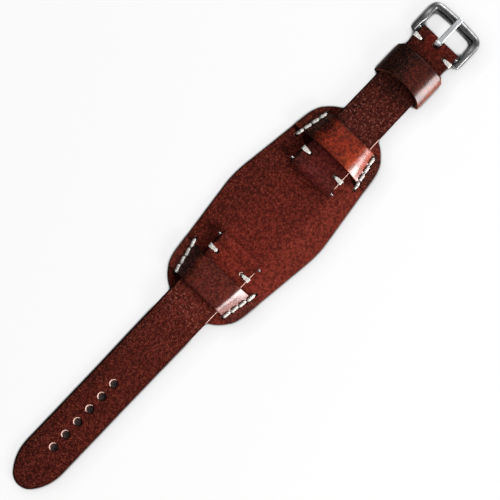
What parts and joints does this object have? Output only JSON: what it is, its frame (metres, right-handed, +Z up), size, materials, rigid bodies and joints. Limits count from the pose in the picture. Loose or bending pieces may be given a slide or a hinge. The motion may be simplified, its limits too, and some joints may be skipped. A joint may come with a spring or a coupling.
{
  "type": "watch strap",
  "caption": "Hand-stitched leather bund watch strap: wide wrist pad, strap halves under sewn bridges, free keeper loop, steel pin buckle and spring bars.",
  "frame": {"origin": "middle of the pad's underside, halfway between the two lug bars", "axes": "+X along the strap to the buckle, +Y across the strap, +Z up through the pad to its grain side"},
  "size_m": [0.2703, 0.0486, 0.0088],
  "materials": {
    "pad_leather": "waxed",
    "tail_leather": "waxed, fine grain",
    "buckle_leather": "waxed, dark, fine grain",
    "tail_bridge_leather": "waxed",
    "buckle_bridge_leather": "waxed, glossy, orange-brown",
    "keeper_leather": "waxed, glossy",
    "thread": "waxed",
    "buckle_steel": "satin",
    "bar_steel": "turned"
  },
  "bodies": {
    "pad": {"pad": "pad_leather", "tail_bridge": "tail_bridge_leather", "buckle_bridge": "buckle_bridge_leather", "tail_bridge_stitching_left": "thread", "tail_bridge_stitching_right": "thread", "buckle_bridge_stitching_left": "thread", "buckle_bridge_stitching_right": "thread"},
    "tail_half": {"tail_strap": "tail_leather", "tail_lug_tack_left": "thread", "tail_lug_tack_right": "thread"},
    "buckle_half": {"buckle_strap": "buckle_leather", "buckle_lug_tack_left": "thread", "buckle_lug_tack_right": "thread", "buckle_end_tack_left": "thread", "buckle_end_tack_right": "thread"},
    "keeper": {"keeper": "keeper_leather", "keeper_stitches": "thread"},
    "buckle_frame": {"buckle_frame": "buckle_steel"},
    "buckle_tongue": {"buckle_tongue": "buckle_steel"},
    "tail_lug_bar": {"tail_lug_bar_tube": "bar_steel", "tail_lug_bar_spring": "bar_steel"},
    "tail_lug_bar_tip_left": {"tail_lug_bar_tip_left": "bar_steel"},
    "tail_lug_bar_tip_right": {"tail_lug_bar_tip_right": "bar_steel"},
    "buckle_lug_bar": {"buckle_lug_bar_tube": "bar_steel", "buckle_lug_bar_spring": "bar_steel"},
    "buckle_lug_bar_tip_left": {"buckle_lug_bar_tip_left": "bar_steel"},
    "buckle_lug_bar_tip_right": {"buckle_lug_bar_tip_right": "bar_steel"},
    "buckle_bar": {"buckle_bar_tube": "bar_steel", "buckle_bar_spring": "bar_steel"},
    "buckle_bar_tip_left": {"buckle_bar_tip_left": "bar_steel"},
    "buckle_bar_tip_right": {"buckle_bar_tip_right": "bar_steel"}
  },
  "joints": [
    {"name": "tail_half_draw", "type": "slide", "parent": "pad", "child": "tail_half", "axis": [-1, 0, 0], "range_m": [0, 0.008]},
    {"name": "buckle_half_draw", "type": "slide", "parent": "pad", "child": "buckle_half", "axis": [1, 0, 0], "range_m": [0, 0.008]},
    {"name": "keeper_slide", "type": "slide", "parent": "buckle_half", "child": "keeper", "axis": [-1, 0, 0], "range_m": [0, 0.0185]},
    {"name": "buckle_swing", "type": "hinge", "parent": "buckle_half", "child": "buckle_frame", "pos_m": [0.0988, 0, 0.0023], "axis": [0, -1, 0], "range_deg": [-90, 30]},
    {"name": "tongue_swing", "type": "hinge", "parent": "buckle_frame", "child": "buckle_tongue", "pos_m": [0.0988, 0, 0.0023], "axis": [0, -1, 0], "range_deg": [0, 80]},
    {"name": "tail_lug_bar_turn", "type": "hinge", "parent": "tail_half", "child": "tail_lug_bar", "pos_m": [-0.022, 0, 0.0045], "axis": [0, 1, 0], "continuous": true},
    {"name": "tail_lug_bar_tip_left_press", "type": "slide", "parent": "tail_lug_bar", "child": "tail_lug_bar_tip_left", "axis": [0, -1, 0], "range_m": [0, 0.0012], "stiffness_N_per_m": 400, "springref_m": -0.001, "deforming": ["tail_lug_bar_spring"]},
    {"name": "tail_lug_bar_tip_right_press", "type": "slide", "parent": "tail_lug_bar", "child": "tail_lug_bar_tip_right", "axis": [0, 1, 0], "range_m": [0, 0.0012], "stiffness_N_per_m": 400, "springref_m": -0.001, "deforming": ["tail_lug_bar_spring"]},
    {"name": "buckle_lug_bar_turn", "type": "hinge", "parent": "buckle_half", "child": "buckle_lug_bar", "pos_m": [0.022, 0, 0.0045], "axis": [0, 1, 0], "continuous": true},
    {"name": "buckle_lug_bar_tip_left_press", "type": "slide", "parent": "buckle_lug_bar", "child": "buckle_lug_bar_tip_left", "axis": [0, -1, 0], "range_m": [0, 0.0012], "stiffness_N_per_m": 400, "springref_m": -0.001, "deforming": ["buckle_lug_bar_spring"]},
    {"name": "buckle_lug_bar_tip_right_press", "type": "slide", "parent": "buckle_lug_bar", "child": "buckle_lug_bar_tip_right", "axis": [0, 1, 0], "range_m": [0, 0.0012], "stiffness_N_per_m": 400, "springref_m": -0.001, "deforming": ["buckle_lug_bar_spring"]},
    {"name": "buckle_bar_turn", "type": "hinge", "parent": "buckle_half", "child": "buckle_bar", "pos_m": [0.0988, 0, 0.0023], "axis": [0, 1, 0], "continuous": true},
    {"name": "buckle_bar_tip_left_press", "type": "slide", "parent": "buckle_bar", "child": "buckle_bar_tip_left", "axis": [0, -1, 0], "range_m": [0, 0.0012], "stiffness_N_per_m": 400, "springref_m": -0.001, "deforming": ["buckle_bar_spring"]},
    {"name": "buckle_bar_tip_right_press", "type": "slide", "parent": "buckle_bar", "child": "buckle_bar_tip_right", "axis": [0, 1, 0], "range_m": [0, 0.0012], "stiffness_N_per_m": 400, "springref_m": -0.001, "deforming": ["buckle_bar_spring"]}
  ]
}
